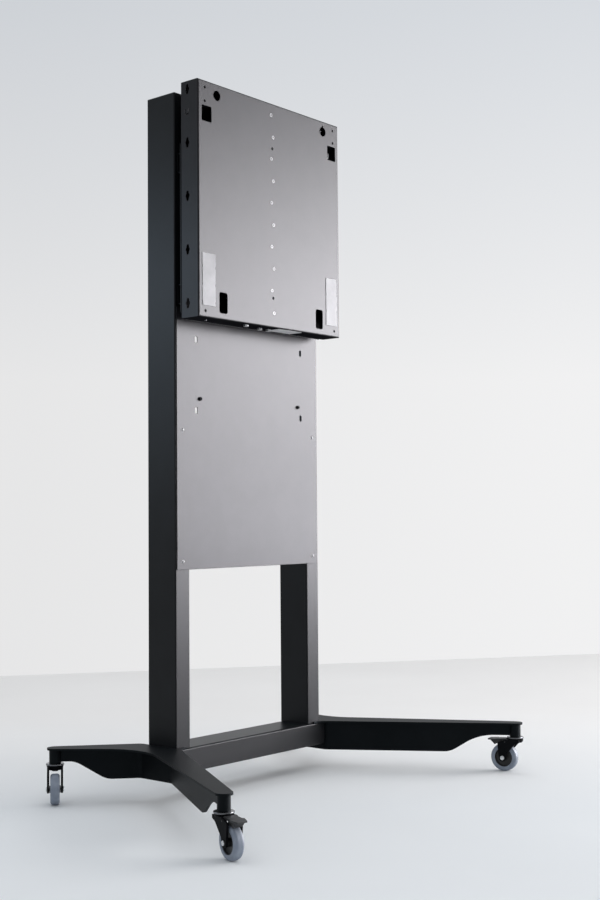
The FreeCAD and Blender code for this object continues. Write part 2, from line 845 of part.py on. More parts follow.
def tongue_cut(span):
    """U-shaped slit that leaves a small tongue in a side of the housing."""
    y = housing_front_y + tongue_setback
    z = housing_top_z - tongue_inset
    half = tongue_width / 2
    outline = [
        (y - half - tongue_slit, z + tongue_length, 0),
        (y - half - tongue_slit, z - tongue_slit, 0),
        (y + half + tongue_slit, z - tongue_slit, 0),
        (y + half + tongue_slit, z + tongue_length, 0),
        (y + half, z + tongue_length, 0),
        (y + half, z, 0),
        (y - half, z, 0),
        (y - half, z + tongue_length, 0),
    ]
    return prism(outline, *span, "YZ")


def bottom_hole_places():
    """Bolts and the tension screw that pass the housing's bottom wall, as (x, y, radius)."""
    places = [(x, stop_bolt_y(), stop_bolt_radius) for x in around(0, stop_bolt_spacing)]
    places.append((balance_x, tension_screw_y(), tension_screw_radius))
    return places


def make_housing():
    """Deep pan of bent sheet, open to the rear, with all its cut-outs."""
    x_span = (-housing_outer_x, housing_outer_x)
    z_span = (housing_bottom_z, housing_top_z)
    outer = block(x_span, (housing_front_y, housing_rear_y), z_span)
    front_edges = []
    for edge in outer.Edges:
        box = edge.BoundBox
        if box.YMax < housing_front_y + housing_wall:
            front_edges.append(edge)
    outer = outer.makeFillet(housing_bend_radius, front_edges)
    inner_x = (x_span[0] + housing_wall, x_span[1] - housing_wall)
    inner_z = (z_span[0] + housing_wall, z_span[1] - housing_wall)
    inner = block(inner_x, (housing_inner_y, housing_rear_y + overrun), inner_z)
    inner_edges = [e for e in inner.Edges if e.BoundBox.YMax < housing_inner_y + housing_wall]
    inner = inner.makeFillet(housing_bend_radius - housing_wall, inner_edges)
    pan = outer.cut(inner)
    cuts = front_cuts() + side_cuts()
    for x, y, radius in bottom_hole_places():
        z = (housing_bottom_z - overrun, housing_bottom_z + housing_wall + overrun)
        cuts.append(rod(radius + screw_clearance, (x, y, z[0]), (x, y, z[1])))
    pan = pan.cut(Part.makeCompound(cuts))
    window_top = housing_top_z - window_inset + window_height / 2
    tabs = []
    for x in both_sides(window_x):
        tab_x = around(x, window_width - window_corner_radius * 2)
        tab_y = (housing_inner_y - housing_wall, housing_inner_y + window_tab_depth)
        tabs.append(block(tab_x, tab_y, (window_top, window_top + housing_wall)))
    save("lift_housing", pan.fuse(tabs).removeSplitter())

    pads = []
    for x in both_sides(pad_x):
        z_low = housing_bottom_z + pad_rise
        outline = rectangle(around(x, pad_width), (z_low, z_low + pad_height), pad_corner_radius)
        pads.append(prism(outline, housing_front_y - pad_thickness, housing_front_y, "XZ"))
    save("contact_pads", *pads)


def make_guide():
    """T rail with its screws, and the carriage, liners and riser that hold it."""
    z_span = (guide_bottom_z, guide_bottom_z + guide_rail_length)
    base = block(around(0, guide_base_width), (housing_inner_y, guide_neck_y), z_span)
    neck = block(around(0, guide_neck_width), (guide_neck_y, guide_head_y), z_span)
    head = block(around(0, guide_head_width), (guide_head_y, guide_rear_y), z_span)
    rail = base.fuse([neck, head]).removeSplitter()
    cuts = []
    for x, z in guide_screw_places():
        reach = housing_front_y + screw_length + overrun
        cuts.append(rod(screw_radius, (x, housing_front_y, z), (x, reach, z)))
    for x, z in display_hole_places():
        cuts.append(rod(display_hole_radius, (x, housing_front_y, z), (x, guide_head_y, z)))
    save("guide_rail", rail.cut(Part.makeCompound(cuts)))

    screws = [
        countersunk(
            x, housing_front_y, z, screw_radius, screw_head_radius, screw_head_depth, screw_length
        )
        for x, z in guide_screw_places()
    ]
    save("guide_rail_screws", *screws)

    z_span = (carriage_bottom_z, carriage_top_z)
    body = block(around(0, carriage_width), (carriage_front_y, carriage_rear_y), z_span)
    cut_z = (z_span[0] - overrun, z_span[1] + overrun)
    mouth = block(
        around(0, guide_neck_width + guide_clearance * 2),
        (carriage_front_y - overrun, carriage_back_y),
        cut_z,
    )
    cavity = block(around(0, carriage_cavity_x * 2), (carriage_cavity_y, carriage_back_y), cut_z)
    save("guide_carriage", body.cut(mouth).cut(cavity))

    liners = []
    for side in (-1, 1):
        inner_x, outer_x = sorted((side * liner_inner_x, side * carriage_cavity_x))
        for low in (z_span[0], z_span[1] - liner_height):
            y_span = (carriage_cavity_y, carriage_back_y)
            liners.append(block((inner_x, outer_x), y_span, (low, low + liner_height)))
    save("guide_liners", *liners)

    y_span = (carriage_rear_y, back_plate_front_y)
    channel = block(around(0, riser_width), y_span, z_span)
    hollow_x = around(0, riser_width - riser_wall * 2)
    hollow_y = (carriage_rear_y + riser_wall, back_plate_front_y - riser_wall)
    save("carriage_riser", channel.cut(block(hollow_x, hollow_y, cut_z)))


def belt_loop(radius):
    """Solid of the belt's height inside a loop of one radius round both pulleys."""
    left = FreeCAD.Vector(balance_x - radius, belt_front_y, 0)
    right = FreeCAD.Vector(balance_x + radius, belt_front_y, 0)
    high = FreeCAD.Vector(0, 0, drive_pulley_z)
    low = FreeCAD.Vector(0, 0, idler_z)
    crest = FreeCAD.Vector(balance_x, belt_front_y, drive_pulley_z + radius)
    trough = FreeCAD.Vector(balance_x, belt_front_y, idler_z - radius)
    edges = [
        Part.Arc(left + high, crest, right + high).toShape(),
        Part.makeLine(right + high, right + low),
        Part.Arc(right + low, trough, left + low).toShape(),
        Part.makeLine(left + low, left + high),
    ]
    return Part.Face(Part.Wire(edges)).extrude(FreeCAD.Vector(0, belt_rear_y - belt_front_y, 0))


def make_belt():
    """Closed belt loop around both pulleys, and the clamp that fixes it to the back plate."""
    save("balance_belt", belt_loop(belt_outer_radius).cut(belt_loop(belt_inner_radius)))

    strand_x = balance_x - (belt_inner_radius + belt_outer_radius) / 2
    half_slot = belt_thickness / 2 + clamp_belt_gap
    low = housing_bottom_z + clamp_rise
    z_span = (low, low + clamp_height)
    base_front = belt_rear_y + clamp_base_gap
    half_base = half_slot + clamp_jaw_width
    base_x = (strand_x - half_base, strand_x + half_base)
    base = block(base_x, (base_front, back_plate_front_y), z_span)
    jaws = [
        block((base_x[0], strand_x - half_slot), (belt_front_y, base_front), z_span),
        block((strand_x + half_slot, base_x[1]), (belt_front_y, base_front), z_span),
    ]
    save("belt_clamp", base.fuse(jaws).removeSplitter())


def pulley(z, bore):
    """Flanged belt pulley on a Y axis."""
    y_flanges = (pulley_front_y, pulley_rear_y - pulley_flange_thickness)
    body = rod(pulley_radius, (balance_x, pulley_front_y, z), (balance_x, pulley_rear_y, z))
    for y in y_flanges:
        rim_end = (balance_x, y + pulley_flange_thickness, z)
        body = body.fuse(rod(pulley_flange_radius, (balance_x, y, z), rim_end))
    cut_ends = ((balance_x, pulley_front_y - overrun, z), (balance_x, pulley_rear_y + overrun, z))
    return body.cut(rod(bore, *cut_ends))


def spiral_strip(start_radius, pitch, half_turns):
    """Flat spiral outline of joined half circles, as a closed face in the XZ plane."""
    z = drive_pulley_z
    y = cassette_inner_y()
    inner, outer = [], []
    centre_x = balance_x
    for index in range(half_turns):
        radius = start_radius + index * pitch / 2
        side = 1 if index % 2 == 0 else -1
        for edges, r in ((inner, radius), (outer, radius + spring_strip_thickness)):
            start = FreeCAD.Vector(centre_x + side * r, y, z)
            middle = FreeCAD.Vector(centre_x, y, z + side * r)
            end = FreeCAD.Vector(centre_x - side * r, y, z)
            edges.append((start, middle, end))
        centre_x += side * pitch / 2
    lines = [Part.Arc(*ends).toShape() for ends in inner + outer]
    lines.append(Part.makeLine(inner[0][0], outer[0][0]))
    lines.append(Part.makeLine(inner[-1][2], outer[-1][2]))
    return Part.Face(Part.Wire(Part.__sortEdges__(lines)))


def cassette_inner_y():
    """Front face of the clock spring inside its cassette."""
    return housing_inner_y + cassette_wall + spring_side_gap


def make_cassette():
    """Spring cassette: cup with ears, cover and clock spring, and the pulley on its arbor."""
    x, z = balance_x, drive_pulley_z
    cup_end = cassette_rear_y - cassette_wall
    cup = rod(cassette_radius, (x, housing_inner_y, z), (x, cup_end, z))
    ear_y = (housing_inner_y, housing_inner_y + cassette_wall)
    reach = cassette_radius + cassette_ear_reach
    bolt_reach = cassette_radius + cassette_ear_reach / 2
    nuts = []
    for index in range(cassette_ear_count):
        turn = math.radians(cassette_ear_start_degrees + 360 / cassette_ear_count * index)
        ear = block((0, reach), ear_y, around(0, cassette_ear_width))
        ear.rotate(FreeCAD.Vector(0, 0, 0), FreeCAD.Vector(0, 1, 0), -math.degrees(turn))
        ear.translate(FreeCAD.Vector(x, 0, z))
        cup = cup.fuse(ear)
        nut_x = x + bolt_reach * math.cos(turn)
        nut_z = z + bolt_reach * math.sin(turn)
        stud_end = ear_y[1] + cassette_wall * 2
        stud = rod(screw_radius, (nut_x, ear_y[0], nut_z), (nut_x, stud_end, nut_z))
        cup = cup.cut(stud)
        flats = hexagon(nut_x, nut_z, screw_radius * 3)
        nuts.append(stud.fuse(prism(flats, ear_y[1], ear_y[1] + cassette_wall, "XZ")))
    inner_radius = cassette_radius - cassette_wall
    hollow_start = housing_inner_y + cassette_wall
    cup = cup.cut(rod(inner_radius, (x, hollow_start, z), (x, cup_end + overrun, z)))
    save("spring_cassette", cup)
    save("cassette_nuts", *nuts)

    bore = arbor_radius + running_clearance
    cover = rod(cassette_radius, (x, cup_end, z), (x, cassette_rear_y, z))
    hole = rod(bore, (x, cup_end - overrun, z), (x, cassette_rear_y + overrun, z))
    save("cassette_cover", cover.cut(hole))

    start_radius = arbor_radius + spring_arbor_gap
    room = inner_radius - spring_outer_gap - spring_strip_thickness - start_radius
    pitch = room / spring_turns
    face = spiral_strip(start_radius, pitch, spring_turns * 2)
    width = cup_end - spring_side_gap - cassette_inner_y()
    save("mainspring", face.extrude(FreeCAD.Vector(0, width, 0)))

    arbor_front = hollow_start + arbor_end_gap
    arbor = rod(arbor_radius, (x, arbor_front, z), (x, pulley_rear_y + clip_thickness, z))
    save("drive_pulley", pulley(z, arbor_radius).fuse(arbor).removeSplitter())


def tension_screw_y():
    """Depth of the tension screw's axis, in the middle of the sliding block."""
    return housing_inner_y + channel_depth / 2


def make_tensioner():
    """Channel on the front sheet, sliding block with the idler's pin, idler and screw."""
    z_mid = idler_z
    x = balance_x
    half_outer = slider_half_width + slider_clearance + channel_wall
    rear = housing_inner_y + channel_depth
    foot_z = housing_bottom_z + housing_bend_radius
    z_span = (foot_z, z_mid + slider_height / 2 + slider_travel + channel_wall)
    channel = block((x - half_outer, x + half_outer), (housing_inner_y, rear), z_span)
    cut_z = (z_span[0] - overrun, z_span[1] + overrun)
    half_inner = slider_half_width + slider_clearance
    inner_y = (housing_inner_y + channel_wall, rear - channel_lip_depth)
    channel = channel.cut(block((x - half_inner, x + half_inner), inner_y, cut_z))
    mouth = channel_mouth_half_width
    mouth_y = (housing_inner_y + channel_wall, rear + overrun)
    save("tensioner_channel", channel.cut(block((x - mouth, x + mouth), mouth_y, cut_z)))

    z_span = around(z_mid, slider_height)
    block_y = (inner_y[0] + slider_clearance, inner_y[1] - slider_clearance)
    slider = block((x - slider_half_width, x + slider_half_width), block_y, z_span)
    neck_end = pulley_front_y - slider_clearance
    neck = slider_neck_half_width
    slider = slider.fuse(block((x - neck, x + neck), (block_y[1], neck_end), z_span))
    pin_end = pulley_rear_y + clip_thickness * 2
    slider = slider.fuse(rod(idler_pin_radius, (x, block_y[1], z_mid), (x, pin_end, z_mid)))
    screw_y = tension_screw_y()
    bore = tension_screw_radius + running_clearance
    low, high = z_span[0] - overrun, z_span[1] + overrun
    slider = slider.cut(rod(bore, (x, screw_y, low), (x, screw_y, high)))
    clip_y = pulley_rear_y + slider_clearance
    clip = rod(clip_radius, (x, clip_y, z_mid), (x, clip_y + clip_thickness, z_mid))
    hole_ends = ((x, clip_y - overrun, z_mid), (x, clip_y + clip_thickness + overrun, z_mid))
    clip = clip.cut(rod(idler_pin_radius, *hole_ends))
    save("tension_slider", slider, clip)
    save("idler_pulley", pulley(z_mid, idler_pin_radius + running_clearance))

    shank = rod(
        tension_screw_radius, (x, screw_y, housing_bottom_z), (x, screw_y, z_span[1] - screw_end_gap)
    )
    flats = hexagon(x, screw_y, hex_across_flats)
    head = prism(flats, housing_bottom_z - hex_head_height, housing_bottom_z)
    save("tension_screw", shank.fuse(head))


def stop_bolt_y():
    """Depth of the travel stop's bolts."""
    return guide_rear_y + overrun + stop_depth / 2


def make_travel_stop():
    """Block at the foot of the guide that the carriage meets at the top of the travel."""
    y_span = around(stop_bolt_y(), stop_depth)
    top = carriage_bottom_z - stop_contact_gap
    low = housing_bottom_z + housing_wall
    body = block(around(0, stop_width), y_span, (low, top - stop_bumper_thickness))
    bolts = []
    for x in around(0, stop_bolt_spacing):
        y = stop_bolt_y()
        shank_top = (low + top) / 2
        shank = rod(stop_bolt_radius, (x, y, housing_bottom_z), (x, y, shank_top))
        body = body.cut(shank)
        flats = hexagon(x, y, hex_across_flats)
        head = prism(flats, housing_bottom_z - hex_head_height, housing_bottom_z)
        bolts.append(shank.fuse(head))
    save("travel_stop", body)
    save("travel_stop_bolts", *bolts)
    pad = block(around(0, stop_width), y_span, (top - stop_bumper_thickness, top))
    save("stop_bumper", pad)


def caster_bearing():
    """Upper race with its stem and king pin, in the caster's own frame."""
    race = rod(race_radius, (0, 0, race_bottom_z), (0, 0, socket_bottom_z))
    race = race.makeFillet(race_rounding, race.Edges[:1] + race.Edges[2:])
    stem = rod(stem_radius, (0, 0, race_bottom_z), (0, 0, socket_bottom_z + stem_length))
    head_top = crown_bottom_z - race_gap
    pin = rod(king_pin_radius, (0, 0, head_top), (0, 0, race_bottom_z))
    head = rod(king_pin_head_radius, (0, 0, head_top - king_pin_head_height), (0, 0, head_top))
    return race.fuse([stem, pin, head])


def leg_outline():
    """Side view of a fork leg as (u, z, radius), with u along the trail."""
    low = wheel_radius - fork_boss_radius
    front_u = caster_offset - fork_boss_radius
    rear_u = caster_offset + fork_boss_radius
    top = crown_top_z - crown_plate_drop
    waist_z = wheel_radius + fork_boss_radius
    boss = fork_boss_radius * 0.95
    return [
        (-crown_plate_back, top, race_rounding),
        (crown_top_radius - race_gap, top, fork_boss_radius / 2),
        (rear_u + fork_boss_radius / 2, crown_bottom_z - race_rounding, fork_boss_radius / 2),
        (rear_u, low, boss),
        (front_u, low, boss),
        (front_u, waist_z, fork_boss_radius / 2),
        (-crown_plate_back / 4, crown_bottom_z - king_pin_radius, fork_boss_radius),
        (-crown_plate_back, crown_bottom_z, race_rounding),
    ]


def caster_fork():
    """Crown bowl, crown plate and two legs, bored for the king pin and axle."""
    crown = cone(
        crown_bottom_radius, crown_top_radius, (0, 0, crown_bottom_z), (0, 0, crown_top_z)
    )
    plate = block(
        (-crown_plate_back, crown_plate_reach),
        (-fork_outer_y, fork_outer_y),
        (crown_bottom_z, crown_top_z - crown_plate_drop),
    )
    inner = fork_inner_width / 2
    legs = [
        prism(leg_outline(), -fork_outer_y, -inner, "XZ"),
        prism(leg_outline(), inner, fork_outer_y, "XZ"),
    ]
    fork = crown.fuse([plate] + legs)
    bore = king_pin_radius + running_clearance
    low, high = crown_bottom_z - overrun, crown_top_z + overrun
    fork = fork.cut(rod(bore, (0, 0, low), (0, 0, high)))
    reach = fork_outer_y + overrun
    axle_ends = ((caster_offset, -reach, wheel_radius), (caster_offset, reach, wheel_radius))
    return fork.cut(rod(axle_radius, *axle_ends)).removeSplitter()


def pedal_pin_bore(radius):
    """Rod through both legs on the pedal's axis."""
    reach = fork_outer_y + overrun
    return rod(radius, (pedal_pin_u, -reach, pedal_pin_z), (pedal_pin_u, reach, pedal_pin_z))


def pedal_top(u):
    """Height of the pedal's top face at a place along the trail."""
    slope = (pedal_tip_z - pedal_root_z) / (pedal_tip_u - pedal_root_u)
    return pedal_root_z + slope * (u - pedal_root_u)


def caster_pedal():
    """Brake pedal: plate, two ears, pin and a shoe over the tyre."""
    side = [
        (pedal_root_u, pedal_root_z, race_rounding),
        (pedal_tip_u, pedal_tip_z, race_rounding),
        (pedal_tip_u, pedal_tip_z - pedal_plate_thickness, race_rounding),
        (pedal_root_u, pedal_root_z - pedal_plate_thickness, race_rounding),
    ]
    half_wide = pedal_wide_width / 2
    plate = prism(side, -half_wide, half_wide, "XZ")
    narrow = pedal_narrow_width / 2
    tip = pedal_tip_width / 2
    neck_u = pedal_wide_start_u
    shoulder_u = neck_u + half_wide - narrow
    plan = [
        (pedal_root_u - overrun, -narrow, 0),
        (neck_u, -narrow, pedal_ear_radius),
        (shoulder_u, -half_wide, pedal_ear_radius),
        (pedal_tip_u + overrun, -tip, pedal_ear_radius),
        (pedal_tip_u + overrun, tip, pedal_ear_radius),
        (shoulder_u, half_wide, pedal_ear_radius),
        (neck_u, narrow, pedal_ear_radius),
        (pedal_root_u - overrun, narrow, 0),
    ]
    plate = plate.common(prism(plan, pedal_tip_z / 2, pedal_root_z * 2))
    outer = fork_inner_width / 2 - pedal_ear_gap
    pieces = []
    u, z = pedal_pin_u, pedal_pin_z
    under = pedal_top(u) - pedal_plate_thickness / 2
    ear_width = pedal_ear_radius * 2 - race_gap
    for low in (-outer, outer - pedal_ear_thickness):
        high = low + pedal_ear_thickness
        pieces.append(rod(pedal_ear_radius, (u, low, z), (u, high, z)))
        pieces.append(block(around(u, ear_width), (low, high), (z, under)))
    pin_end = fork_outer_y - race_gap
    pieces.append(rod(pedal_pin_radius, (u, -pin_end, z), (u, pin_end, z)))
    pieces.append(pedal_shoe())
    return plate.fuse(pieces).removeSplitter()


def pedal_shoe():
    """Brake shoe whose underside meets the tyre when the pedal is pressed down."""
    half = pedal_shoe_width / 2
    shoe = [
        (pedal_shoe_start_u, wheel_radius, 0),
        (pedal_shoe_end_u, wheel_radius, 0),
        (pedal_shoe_end_u, pedal_pin_z - pedal_shoe_drop, pedal_ear_radius / 2),
        (pedal_shoe_lip_u, pedal_top(pedal_shoe_lip_u) - pedal_plate_thickness / 2, 0),
        (pedal_shoe_start_u, pedal_top(pedal_shoe_start_u) - pedal_plate_thickness / 2, 0),
    ]
    tyre = rod(
        wheel_radius + pedal_contact_gap,
        (caster_offset, -half - overrun, wheel_radius),
        (caster_offset, half + overrun, wheel_radius),
    )
    pivot = FreeCAD.Vector(pedal_pin_u, 0, pedal_pin_z)
    tyre.rotate(pivot, FreeCAD.Vector(0, 1, 0), -pedal_travel_degrees)
    return prism(shoe, -half, half, "XZ").cut(tyre)


def wheel_profile(points):
    """Revolve (radius, half width) points, mirrored about the wheel's middle."""
    upper = [(r, w, c) for r, w, c in points]
    lower = [(r, -w, c) for r, w, c in reversed(points)]
    solid = revolve(upper + lower, (0, 0, 0), (0, 0, 1))
    solid.rotate(FreeCAD.Vector(0, 0, 0), FreeCAD.Vector(1, 0, 0), 90)
    solid.translate(FreeCAD.Vector(caster_offset, 0, wheel_radius))
    return solid


def caster_hub():
    """Hub with a long boss, a thin web and a rim."""
    boss = fork_inner_width / 2 - hub_end_gap
    rim = wheel_width / 2 - tyre_lip_thickness
    inner_rim = hub_radius - hub_rim_thickness
    corner = race_rounding
    return wheel_profile([
        (axle_radius + running_clearance, boss, 0),
        (hub_boss_radius, boss, corner),
        (hub_boss_radius, hub_web_half_width, corner),
        (inner_rim, hub_web_half_width, corner),
        (inner_rim, rim, 0),
        (hub_radius, rim, 0),
    ])


def caster_tyre():
    """Tyre with a round tread and lips that hold the hub's rim."""
    half = wheel_width / 2
    rim = half - tyre_lip_thickness
    return wheel_profile([
        (hub_radius, rim, 0),
        (tyre_lip_radius, rim, 0),
        (tyre_lip_radius, half, race_rounding / 2),
        (wheel_radius, half, tyre_shoulder_radius),
    ])


def caster_axle():
    """Bolt with a round head, and a hex nut at its other end."""
    u, z = caster_offset, wheel_radius
    head_end = fork_outer_y + axle_head_height
    shank = rod(axle_radius, (u, -fork_outer_y, z), (u, head_end, z))
    head = rod(axle_head_radius, (u, -head_end, z), (u, -fork_outer_y, z))
    face_edges = [e for e in head.Edges if e.BoundBox.YMax < -fork_outer_y - race_gap]
    head = head.makeFillet(axle_head_height / 2, face_edges)
    nut = prism(hexagon(u, z, axle_head_radius * 2), fork_outer_y, head_end - race_gap, "XZ")
    nut = nut.cut(shank)
    return [shank.fuse(head), nut]


def placed(shape, stem, heading):
    """Turn a caster piece to its heading and carry it to its stem."""
    copy = shape.copy()
    copy.rotate(FreeCAD.Vector(0, 0, 0), FreeCAD.Vector(0, 0, 1), heading)
    copy.translate(FreeCAD.Vector(stem[0], stem[1], 0))
    return copy


def make_casters():
    """Four casters; the front pair has brake pedals."""
    bearing = caster_bearing()
    fork = caster_fork()
    braked_fork = fork.cut(pedal_pin_bore(pedal_pin_radius + running_clearance))
    hub, tyre, axle, pedal = caster_hub(), caster_tyre(), caster_axle(), caster_pedal()
    for name, heading in caster_headings.items():
        x, y = front_stem if name.startswith("front") else rear_stem
        stem = (x if name.endswith("left") else -x, y)
        front = name.startswith("front")
        save(name + "_swivel_bearing", placed(bearing, stem, heading))
        save(name + "_fork", placed(braked_fork if front else fork, stem, heading))
        save(name + "_hub", placed(hub, stem, heading))
        save(name + "_tyre", placed(tyre, stem, heading))
        save(name + "_axle", *[placed(piece, stem, heading) for piece in axle])
        if front:
            save(name + "_brake_pedal", placed(pedal, stem, heading))


os.makedirs("parts", exist_ok=True)
make_columns()
make_crossbar()
make_foot_web()
make_foot_plate()
make_sockets()
make_cover()
make_chassis()
make_housing()
make_guide()
make_belt()
make_cassette()
make_tensioner()
make_travel_stop()
make_casters()
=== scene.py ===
import bpy
import bmesh
import json
import math
from mathutils import Matrix, Vector


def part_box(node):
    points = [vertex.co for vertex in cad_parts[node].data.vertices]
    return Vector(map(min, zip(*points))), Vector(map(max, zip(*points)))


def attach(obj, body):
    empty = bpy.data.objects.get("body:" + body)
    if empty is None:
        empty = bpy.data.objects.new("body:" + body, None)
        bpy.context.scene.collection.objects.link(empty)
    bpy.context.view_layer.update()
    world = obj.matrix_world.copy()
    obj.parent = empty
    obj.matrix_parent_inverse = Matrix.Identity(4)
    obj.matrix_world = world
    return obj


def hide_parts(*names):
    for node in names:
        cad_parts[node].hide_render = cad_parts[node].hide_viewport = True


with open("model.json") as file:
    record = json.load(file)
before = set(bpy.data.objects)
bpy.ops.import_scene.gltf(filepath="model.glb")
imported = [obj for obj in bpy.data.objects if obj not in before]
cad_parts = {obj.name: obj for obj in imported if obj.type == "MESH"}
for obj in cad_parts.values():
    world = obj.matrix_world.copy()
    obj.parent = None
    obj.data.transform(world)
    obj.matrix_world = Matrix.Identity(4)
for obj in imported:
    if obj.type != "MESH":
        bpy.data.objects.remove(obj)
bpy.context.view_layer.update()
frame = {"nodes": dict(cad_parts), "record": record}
nodes = frame["nodes"]

# Camera solved from the photograph: place in metres, angles in radians, focal length in pixels.
CAMERA_PLACE = Vector((-2.6053, -2.2751, 0.7111))
YAW, PITCH, ROLL = -0.86893, 0.04884, 0.00767
FOCAL_LENGTH, IMAGE_HEIGHT = 1320.84, 900
SENSOR_HEIGHT = 36.0
FORWARD = Vector((-math.sin(YAW), math.cos(YAW), 0))
SIDE = Vector((FORWARD.y, -FORWARD.x, 0))
UP = (0, 0, 1)

# Sockets of a mix node that works on colours.
MIX_INPUTS, MIX_RESULT = (6, 7), 2


class Shader:
    """Short names for building one node tree."""

    def __init__(self, owner):
        owner.use_nodes = True
        self.tree = owner.node_tree
        self.tree.nodes.clear()

    def add(self, kind, **settings):
        """New node; each setting is a property of it or else an input, with _ for a space."""
        node = self.tree.nodes.new(kind)
        for key, value in settings.items():
            if hasattr(node, key):
                setattr(node, key, value)
            else:
                node.inputs[key.replace("_", " ")].default_value = value
        return node

    def link(self, source, target):
        self.tree.links.new(source, target)

    def compute(self, kind, operation, values):
        """Maths node whose inputs are sockets to link or fixed values."""
        node = self.add(kind, operation=operation)
        for socket, value in zip(node.inputs, values):
            if isinstance(value, bpy.types.NodeSocket):
                self.link(value, socket)
            else:
                socket.default_value = value
        return node

    def number(self, operation, *numbers):
        return self.compute("ShaderNodeMath", operation, numbers).outputs["Value"]

    def vector(self, operation, *vectors):
        return self.compute("ShaderNodeVectorMath", operation, vectors).outputs["Vector"]

    def measure(self, operation, *vectors):
        """Number worked out from vectors."""
        return self.compute("ShaderNodeVectorMath", operation, vectors).outputs["Value"]

    def place(self, stretch=(1, 1, 1)):
        """Position on the object in metres, stretched for grain that runs one way."""
        mapping = self.add("ShaderNodeMapping", Scale=stretch)
        self.link(self.add("ShaderNodeTexCoord").outputs["Object"], mapping.inputs["Vector"])
        return mapping.outputs["Vector"]

    def noise(self, scale, detail=2.0, roughness=0.5, stretch=(1, 1, 1)):
        node = self.add("ShaderNodeTexNoise", Scale=scale, Detail=detail, Roughness=roughness)
        self.link(self.place(stretch), node.inputs["Vector"])
        return node.outputs["Fac"]

    def spread(self, value, low, high, start=0.3, end=0.7):
        """Carry the range from start to end over to the range from low to high."""
        node = self.add("ShaderNodeMapRange", From_Min=start, From_Max=end, To_Min=low, To_Max=high)
        self.link(value, node.inputs["Value"])
        return node.outputs["Result"]

    def blend(self, factor, first, second):
        """Mix two colours by a 0 to 1 value."""
        node = self.add("ShaderNodeMix", data_type="RGBA")
        for index, value in zip(MIX_INPUTS, (first, second)):
            if isinstance(value, tuple):
                node.inputs[index].default_value = (*value, 1)
            else:
                self.link(value, node.inputs[index])
        self.link(factor, node.inputs[0])
        return node.outputs[MIX_RESULT]

    def soft_normal(self, radius):
        """Surface normal that turns gradually over each edge."""
        return self.add("ShaderNodeBevel", samples=4, Radius=radius).outputs["Normal"]

    def sharp_edges(self, radius):
        """Near 1 on sharp edges and 0 on flat faces."""
        plain_normal = self.add("ShaderNodeNewGeometry").outputs["Normal"]
        agreement = self.measure("DOT_PRODUCT", self.soft_normal(radius), plain_normal)
        return self.spread(agreement, 1.0, 0.0, 0.86, 0.995)

    def bump(self, height, strength, distance, edge=0.0):
        """Surface normal with fine relief and, if asked, softened edges."""
        node = self.add("ShaderNodeBump", Strength=strength, Distance=distance)
        self.link(height, node.inputs["Height"])
        if edge:
            self.link(self.soft_normal(edge), node.inputs["Normal"])
        return node.outputs["Normal"]

    def principled(self, color, roughness, normal, **uniform):
        """Surface shader with its varied sockets linked and its other values even."""
        shader = self.add("ShaderNodeBsdfPrincipled", **uniform)
        for name, source in (("Base Color", color), ("Roughness", roughness), ("Normal", normal)):
            self.link(source, shader.inputs[name])
        return shader

    def choose(self, factor, first, second):
        """Shader that is the first at a factor of 0 and the second at 1."""
        node = self.add("ShaderNodeMixShader")
        for socket, source in zip(node.inputs, (factor, first.outputs[0], second.outputs[0])):
            self.link(source, socket)
        return node

    def show(self, kind, shader):
        """Send a shader to the output node of a material or a world."""
        self.link(shader.outputs[0], self.add(kind).inputs["Surface"])


class Finish(Shader):
    """Node tree of a new material."""

    def __init__(self, name):
        self.material = bpy.data.materials.new(name)
        super().__init__(self.material)

    def done(self, shader):
        self.show("ShaderNodeOutputMaterial", shader)
        return self.material


def scaled(color, factor, lift=0.0):
    return tuple(value * factor + lift for value in color)


def powder_coat(name, dark, light, rough, specular, under=None, highlight_rim=None, tint=(1, 1, 1)):
    """Fine semi-matt powder coat: an orange-peel relief, faint mottling and lighter edges.

    Under is the gloss level of faces that look down and tint that of the gloss; a rim colour, if given, is
    a painted highlight along the edges in place of the lighter worn edges.
    """
    s = Finish(name)
    mottling = s.spread(s.noise(14, 4.0, 0.6), 0.0, 1.0, 0.35, 0.65)
    flecks = s.spread(s.noise(2600, 2.0), 0.0, 0.35, 0.45, 0.8)
    color = s.blend(flecks, s.blend(mottling, dark, light), scaled(light, 1.9))
    # A rim colour paints a highlight along the edges; without one the edges get a lighter worn tone.
    if highlight_rim:
        edge_tone, edge_blend = highlight_rim, s.spread(s.sharp_edges(0.0022), 0.0, 1.0, 0.0, 0.35)
    else:
        edge_tone, edge_blend = scaled(light, 2.4), s.spread(s.sharp_edges(0.0012), 0.0, 0.5, 0.0, 1.0)
    roughness = s.spread(s.noise(420, 3.0), rough - 0.02, rough + 0.02)
    relief = s.bump(s.noise(900, 3.0, 0.6), 0.12, 0.0001, 0.0012)
    shader = s.principled(s.blend(edge_blend, color, edge_tone), roughness, relief,
                          Specular_IOR_Level=specular, Specular_Tint=(*tint, 1))
    if under is not None:
        axes = s.add("ShaderNodeSeparateXYZ")
        s.link(s.add("ShaderNodeTexCoord").outputs["Normal"], axes.inputs["Vector"])
        level = s.spread(axes.outputs["Z"], under, specular, -0.95, -0.7)
        s.link(level, shader.inputs["Specular IOR Level"])
    return s.done(shader)


def moulded(name, dark, light, rough, grain=1400, relief=0.2, specular=0.5):
    """Moulded plastic or rubber with a fine spark-eroded grain."""
    s = Finish(name)
    color = s.blend(s.spread(s.noise(60, 4.0), 0.0, 1.0, 0.35, 0.65), dark, light)
    edge_blend = s.spread(s.sharp_edges(0.0008), 0.0, 0.35, 0.0, 1.0)
    roughness = s.spread(s.noise(35, 3.0), rough - 0.05, rough + 0.06)
    normal = s.bump(s.noise(grain, 2.0), relief, 0.00015, 0.0006)
    color = s.blend(edge_blend, color, scaled(light, 1.6, 0.01))
    return s.done(s.principled(color, roughness, normal, Specular_IOR_Level=specular))


